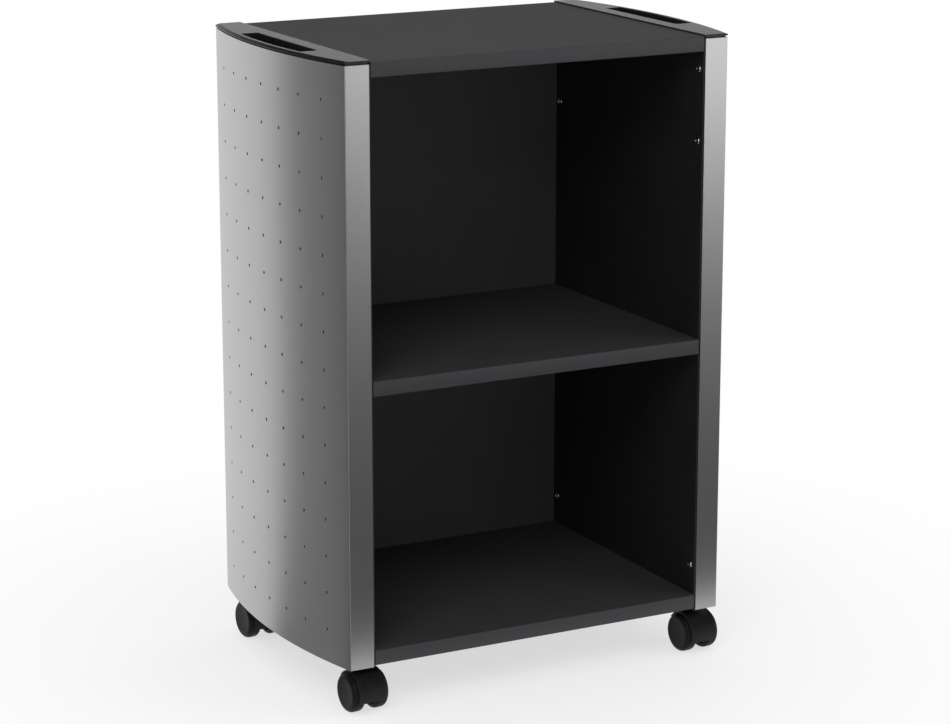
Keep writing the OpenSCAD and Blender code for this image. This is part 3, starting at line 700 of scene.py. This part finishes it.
def grip_cap():
    """A plate that slopes down to a rounded edge over a shadow gap, and a pocket with a lip."""
    top, half = CAP_HIGH.z, CAP_HIGH.y
    crest = draw_side_line("crest", CAP_LOW.x, top, half, CAP_ARC_R - CAP_SLOPE, CAP_CORNER_R,
                           CAP_CORNER_STEPS)
    close_piece()
    piece = draw_side_line("right_cap", CAP_LOW.x, top - CAP_DROP, half, CAP_ARC_R,
                           CAP_CORNER_R, CAP_CORNER_STEPS)
    close_piece()
    join(piece, crest)
    open_piece(piece)
    bpy.ops.mesh.select_all(action="SELECT")
    bpy.ops.mesh.bridge_edge_loops()
    for z in (top, top - CAP_DROP):
        pick("VERT", lambda vertex: abs(vertex.co.z - z) < NEAR)
        bpy.ops.mesh.edge_face_add()
    pick("VERT", lambda vertex: vertex.co.x < CAP_LOW.x + NEAR)
    bpy.ops.mesh.edge_face_add()
    pick("FACE", lambda face: all(abs(v.co.z - top + CAP_DROP) < NEAR for v in face.verts))
    extrude((0, 0, CAP_DROP + SHADOW_GAP - CAP_THICK))
    bpy.ops.mesh.inset(thickness=SHADOW_STEP)
    extrude((0, 0, -SHADOW_GAP))
    face_outwards()

    def along(edge):
        """Which stretch of the upper outline an edge belongs to."""
        a, b = (vertex.co for vertex in edge.verts)
        if level_edge(edge, top):
            if max(a.x, b.x) < CAP_LOW.x + NEAR:
                return "inner"
            return "end" if min(abs(a.y), abs(b.y)) > half - NEAR else "crest"
        if level_edge(edge, top - CAP_DROP) and edge.calc_face_angle(0) > FOLDED:
            return "arc"
        return None
    for stretch, weight in CAP_EDGES:
        pick("EDGE", lambda edge: along(edge) == stretch)
        bpy.ops.transform.edge_bevelweight(value=weight)
    close_piece()
    modify(piece, "BEVEL", width=CAP_ROUND, segments=CAP_ROUND_STEPS, limit_method="WEIGHT")
    cut(piece, slot_block("pocket", POCKET_WALL, top - POCKET_DEPTH - POCKET_WALL, top - PAST),
        "UNION")
    cut(piece, slot_block("slot", 0, top - POCKET_DEPTH, top + PAST))
    open_piece(piece)

    def slot_rim(edge):
        """Whether an edge runs round the slot's mouth."""
        a, b = (vertex.co for vertex in edge.verts)
        return (level_edge(edge, top) and len(edge.link_faces) == 2
                and edge.calc_face_angle() > SHARP and min(a.x, b.x) > SLOT_IN - ROUGHLY
                and max(abs(a.y), abs(b.y)) < SLOT_HALF + ROUGHLY
                and max(hypot(p.x - ARC_X, p.y) for p in (a, b)) < SLOT_R + ROUGHLY)
    pick("EDGE", slot_rim)
    bpy.ops.mesh.bevel(offset=SLOT_LIP, segments=SLOT_LIP_STEPS, affect="EDGES")
    close_piece()
    smooth(piece, CAP_SMOOTH)
    return piece


# Shelf edging

def edging_strip(name, low, high, front):
    """A strip with its outer edges rounded."""
    bpy.ops.object.select_all(action="DESELECT")
    bpy.ops.mesh.primitive_cube_add(size=1, location=(Vector(low) + Vector(high)) / 2,
                                    scale=Vector(high) - Vector(low))
    piece = bpy.context.object
    piece.name = piece.data.name = name
    bpy.ops.object.transform_apply(location=True, rotation=True, scale=True)
    outer = low[1] if front else high[1]
    open_piece(piece)
    pick("EDGE", lambda edge: all(abs(v.co.y - outer) < NEAR for v in edge.verts))
    bpy.ops.mesh.bevel(offset=EDGING_ROUND, segments=EDGING_STEPS, affect="EDGES")
    close_piece()
    smooth(piece, EDGING_SMOOTH)
    return piece


# Screws

def cross_tool(top, reach, width, depth):
    """Two crossed wedges that point down from a height."""
    arms = []
    for turn in (0, pi / 2):
        bpy.ops.object.select_all(action="DESELECT")
        bpy.ops.mesh.primitive_cube_add(size=1, location=(0, 0, top - depth / 2 + PAST / 2),
                                        scale=(2 * reach, width, depth + PAST))
        arm = bpy.context.object
        bpy.ops.object.transform_apply(location=True, rotation=True, scale=True)
        open_piece(arm)
        low = top - depth
        pick("VERT", lambda vertex: vertex.co.z < low + NEAR)
        bpy.ops.transform.resize(value=CROSS_TAPER, center_override=(0, 0, low))
        close_piece()
        settle(arm, turn, (0, 0, 0))
        arms.append(arm)
    cut(arms[0], arms[1], "UNION")
    return arms[0]


def domed_screw():
    """Round-headed cross-recess screw, head up, its seat at the origin."""
    dome = [(WALL_HEAD_R * sin(t), WALL_HEAD_RIM + (WALL_HEAD_H - WALL_HEAD_RIM) * cos(t))
            for t in DOME_TURNS]
    section = dome + [(WALL_HEAD_R, WALL_HEAD_UNDER), (WALL_HEAD_R - WALL_HEAD_UNDER, 0),
                      (WALL_SHANK_R, 0), (WALL_SHANK_R, -WALL_SHANK), (0, -WALL_SHANK)]
    piece = lathe("wall_screw", [(x, 0, z) for x, z in section], (0, 0, 0), (0, 0, 1),
                  SCREW_STEPS)
    cut(piece, cross_tool(WALL_HEAD_H, *WALL_CROSS))
    smooth(piece, SCREW_SMOOTH)
    return piece


def sunk_screw():
    """Countersunk cross-recess screw, its head's face at the origin."""
    section = [(0, 0), (BACK_HEAD_R - BACK_HEAD_EDGE, 0), (BACK_HEAD_R, -BACK_HEAD_EDGE),
               (BACK_SHANK_R, -BACK_HEAD_H), (BACK_SHANK_R, -BACK_SHANK), (0, -BACK_SHANK)]
    piece = lathe("back_screw", [(x, 0, z) for x, z in section], (0, 0, 0), (0, 0, 1),
                  SCREW_STEPS)
    cut(piece, cross_tool(0, *BACK_CROSS))
    smooth(piece, SCREW_SMOOTH)
    return piece


def aim_screw(screw, name, place, tilt):
    """A copy of a screw, tilted and put in place."""
    piece = copy_of(screw, name)
    piece.rotation_euler = tilt
    piece.location = place
    bpy.ops.object.transform_apply(location=True, rotation=True, scale=True)
    return piece


# Casters

def round_axle(out, radius):
    """A point beside the axle: out along it and up from it by a radius."""
    return AXLE + Vector((out, 0, radius))


def quarter(radius, out, size, first):
    """A quarter round of the wheel's section about a middle, as radius and distance out."""
    turns = [radians(first + 90 * step / QUARTER_STEPS) for step in range(QUARTER_STEPS + 1)]
    return [(radius + size * cos(turn), out + size * sin(turn)) for turn in turns]


def caster_wheel():
    """The wheel on the +X side: hub, hollow, tread with two rounded edges and a dished face."""
    rim, face_r = WHEEL_R - TREAD_WALL, WHEEL_R - WHEEL_ROUND
    dish = [(face_r * share, WHEEL_W - DISH * (1 - share ** 2)) for share in DISH_RINGS]
    section = ([(BORE_R, -HUB_OUT), (HUB_R, -HUB_OUT), (HUB_R, HOLLOW),
                (rim - HOLLOW_ROUND, HOLLOW), (rim, HOLLOW - HOLLOW_ROUND),
                (rim, HOLLOW_MOUTH), (rim + HOLLOW_MOUTH, 0)]
               + quarter(WHEEL_R - INNER_ROUND, INNER_ROUND, INNER_ROUND, -90)
               + quarter(WHEEL_R - WHEEL_ROUND, WHEEL_W - WHEEL_ROUND, WHEEL_ROUND, 0)
               + dish + [(0, BORE_DEPTH), (BORE_R, BORE_DEPTH), (BORE_R, -HUB_OUT)])
    points = [round_axle(WHEEL_IN + out, radius) for radius, out in section]
    piece = lathe("wheel", points, AXLE, (1, 0, 0), WHEEL_STEPS)
    smooth(piece, WHEEL_SMOOTH)
    return piece


def caster_hood():
    """A fender round both wheels with rounded rims, a boss for the stem and a web."""
    sweep = pi - HOOD_NOSE + HOOD_TAIL
    out = Vector((0, -cos(HOOD_TAIL), -sin(HOOD_TAIL)))
    rim = [(HOOD_HALF_W - HOOD_ROUND * (1 - sin(t)), HOOD_R - HOOD_ROUND * (1 - cos(t)))
           for t in HOOD_RIM_TURNS]
    section = [(-HOOD_HALF_W, 0)] + [(-x, r) for x, r in rim] + rim[::-1] + [(HOOD_HALF_W, 0)]
    piece = draw_through("hood", [AXLE + Vector((x, 0, 0)) + out * r for x, r in section])
    bpy.ops.mesh.select_all(action="SELECT")
    turn_about(AXLE, sweep, HOOD_STEPS, (-1, 0, 0))
    face_outwards()
    for end in (-HOOD_TAIL, pi - HOOD_NOSE):
        flat = Vector((0, sin(end), cos(end)))
        pick("EDGE", lambda edge: edge.is_boundary and all(
            abs((vertex.co - AXLE).dot(flat)) < NEAR for vertex in edge.verts))
        bpy.ops.mesh.edge_face_add()
    face_outwards()
    close_piece()
    foot = WHEEL_R + HOOD_IN_R / 2
    outline = [(BOSS_R + wider, 0, BOSS_TOP - below) for wider, below in BOSS_FLARE]
    boss = lathe("boss", [(0, 0, foot), (outline[0][0], 0, foot)] + outline + [(0, 0, BOSS_TOP)],
                 (0, 0, 0), (0, 0, 1), BOSS_STEPS)
    cut(piece, boss, "UNION")
    cut(piece, axle_drum("tunnel", HOOD_IN_R, TUNNEL_STEPS))
    modify(piece, "BEVEL", width=HOOD_EDGE, segments=MOULDED_EDGE_STEPS, limit_method="ANGLE",
           angle_limit=SHARP)
    cut(piece, web_plate(), "UNION")
    cut(piece, axle_drum("axle_bore", BORE_R, BORE_STEPS))
    mouth = BOSS_TOP + PAST
    cut(piece, lathe("stem_bore", [(0, 0, STEM_LOW), (STEM_BORE_R, 0, STEM_LOW),
                                   (STEM_BORE_R, 0, mouth), (0, 0, mouth)],
                     (0, 0, 0), (0, 0, 1), BORE_STEPS))
    smooth(piece, HOOD_SMOOTH)
    return piece


def axle_drum(name, radius, steps):
    """A drum round the axle that reaches past the hood on both sides."""
    section = ((-DRUM_REACH, 0), (-DRUM_REACH, radius), (DRUM_REACH, radius), (DRUM_REACH, 0))
    points = [round_axle(out, away) for out, away in section]
    return lathe(name, points, AXLE, (1, 0, 0), steps)


def web_plate():
    """The plate between the wheels: a disc cut off below the axle, its rims rounded."""
    drop = asin(WEB_DROP / WEB_R)
    start = AXLE + Vector((-WEB_HALF, -WEB_R * cos(drop), -WEB_R * sin(drop)))
    piece = start_line("web", start)
    turn_about(AXLE, pi + 2 * drop, WEB_STEPS, (-1, 0, 0))
    bpy.ops.mesh.select_all(action="SELECT")
    bpy.ops.mesh.edge_face_add()
    extrude((2 * WEB_HALF, 0, 0))
    face_outwards()
    close_piece()
    modify(piece, "BEVEL", width=WEB_EDGE, segments=MOULDED_EDGE_STEPS, limit_method="ANGLE",
           angle_limit=SHARP)
    return piece


# Putting the cart together

def dress_sides():
    """The right sheet and cap, and the left ones as their mirror images."""
    sheet, cap = side_sheet(), grip_cap()
    left = mirrored(sheet, "left_side_sheet"), mirrored(cap, "left_cap")
    for side_name, pair in (("left", left), ("right", (sheet, cap))):
        # Weighted only now, because mirroring would turn the normals
        for piece in pair:
            modify(piece, "WEIGHTED_NORMAL", keep_sharp=True)
        fit(pair[0], "cart", "silver_sheet", f"{side_name}_side_shell")
        fit(pair[1], "cart", "cap_plastic", f"{side_name}_grip_cap")


def edge_shelves():
    """A strip along each shelf's front, and one along the top's rear above the back panel."""
    for level, (low, high) in SHELVES.items():
        strip = edging_strip(f"{level}_front_edging", (low.x, low.y - EDGING, low.z),
                             (high.x, low.y, high.z), True)
        fit(strip, "cart", "edging", f"{level}_edging")
    low, high = SHELVES["top"]
    strip = edging_strip("top_rear_edging", (low.x, high.y, REAR_EDGING_LOW),
                         (high.x, high.y + EDGING, high.z), False)
    fit(strip, "cart", "edging", "top_edging")


def drive_wall_screws():
    """Three screws near each of the inner walls' four upright edges."""
    screw = domed_screw()
    for side, side_name in ((-1, "left"), (1, "right")):
        for y_name, y in WALL_SCREW_Y.items():
            for z_name, z in WALL_SCREW_Z.items():
                piece = aim_screw(screw, f"wall_screw_{side_name}_{y_name}_{z_name}",
                                  (side * BOARD_LOW.x, y, z), (0, -side * pi / 2, 0))
                fit(piece, "cart", "bright_screws", "wall_screws")
    bpy.data.objects.remove(screw)


def drive_back_screws():
    """A row of screws through the back panel into each shelf."""
    screw = sunk_screw()
    for level, up in BACK_SCREW_UP.items():
        for number, x in enumerate(BACK_SCREW_X, 1):
            place = (x, HALF_DEPTH, SHELVES[level][0].z + up)
            piece = aim_screw(screw, f"back_screw_{level}_{number}", place, (-pi / 2, 0, 0))
            fit(piece, "cart", "zinc_steel", "back_screws")
    bpy.data.objects.remove(screw)


def hang_casters():
    """A hood and two wheels at each corner, turned as they stand at rest."""
    wheel, hood = caster_wheel(), caster_hood()
    for corner, side in CORNERS:
        stem = JOINTS[f"{corner}_swivel"]["pos_m"]
        place = (stem[0], stem[1], 0)
        piece = copy_of(hood, f"{corner}_caster_hood")
        settle(piece, REST_TURN, place)
        fit(piece, f"{corner}_caster", "nylon_hood", f"{corner}_hood")
        for position, facing in (("outer", side), ("inner", -side)):
            name = f"{corner}_{position}_caster_wheel"
            piece = copy_of(wheel, name) if facing > 0 else mirrored(wheel, name)
            settle(piece, REST_TURN, place)
            fit(piece, f"{corner}_wheel_{position}", "nylon_wheel", f"{corner}_{position}_wheel")
    bpy.data.objects.remove(wheel)
    bpy.data.objects.remove(hood)


bpy.context.scene.view_settings.view_transform = "Standard"
place_camera()
light_world()
for lamp in LAMPS:
    soft_box(*lamp)
lay_floor()
hang_cards()

FINISHES = {
    "silver_sheet": silver_lacquer(),
    "anthracite_board": anthracite_melamine(),
    "black_board": black_melamine(),
    "edging": abs_edging(),
    "cap_plastic": moulded_cap(),
    "nylon_hood": hood_nylon(),
    "nylon_wheel": wheel_nylon(),
    "zinc_steel": zinc_plate(),
    "bright_screws": nickel_plate(),
    "beech": beech_wood(),
}
for node in frame["nodes"].values():
    for place in node.material_slots:
        place.material = FINISHES[place.material.name]

dress_sides()
edge_shelves()
drive_wall_screws()
drive_back_screws()
hang_casters()
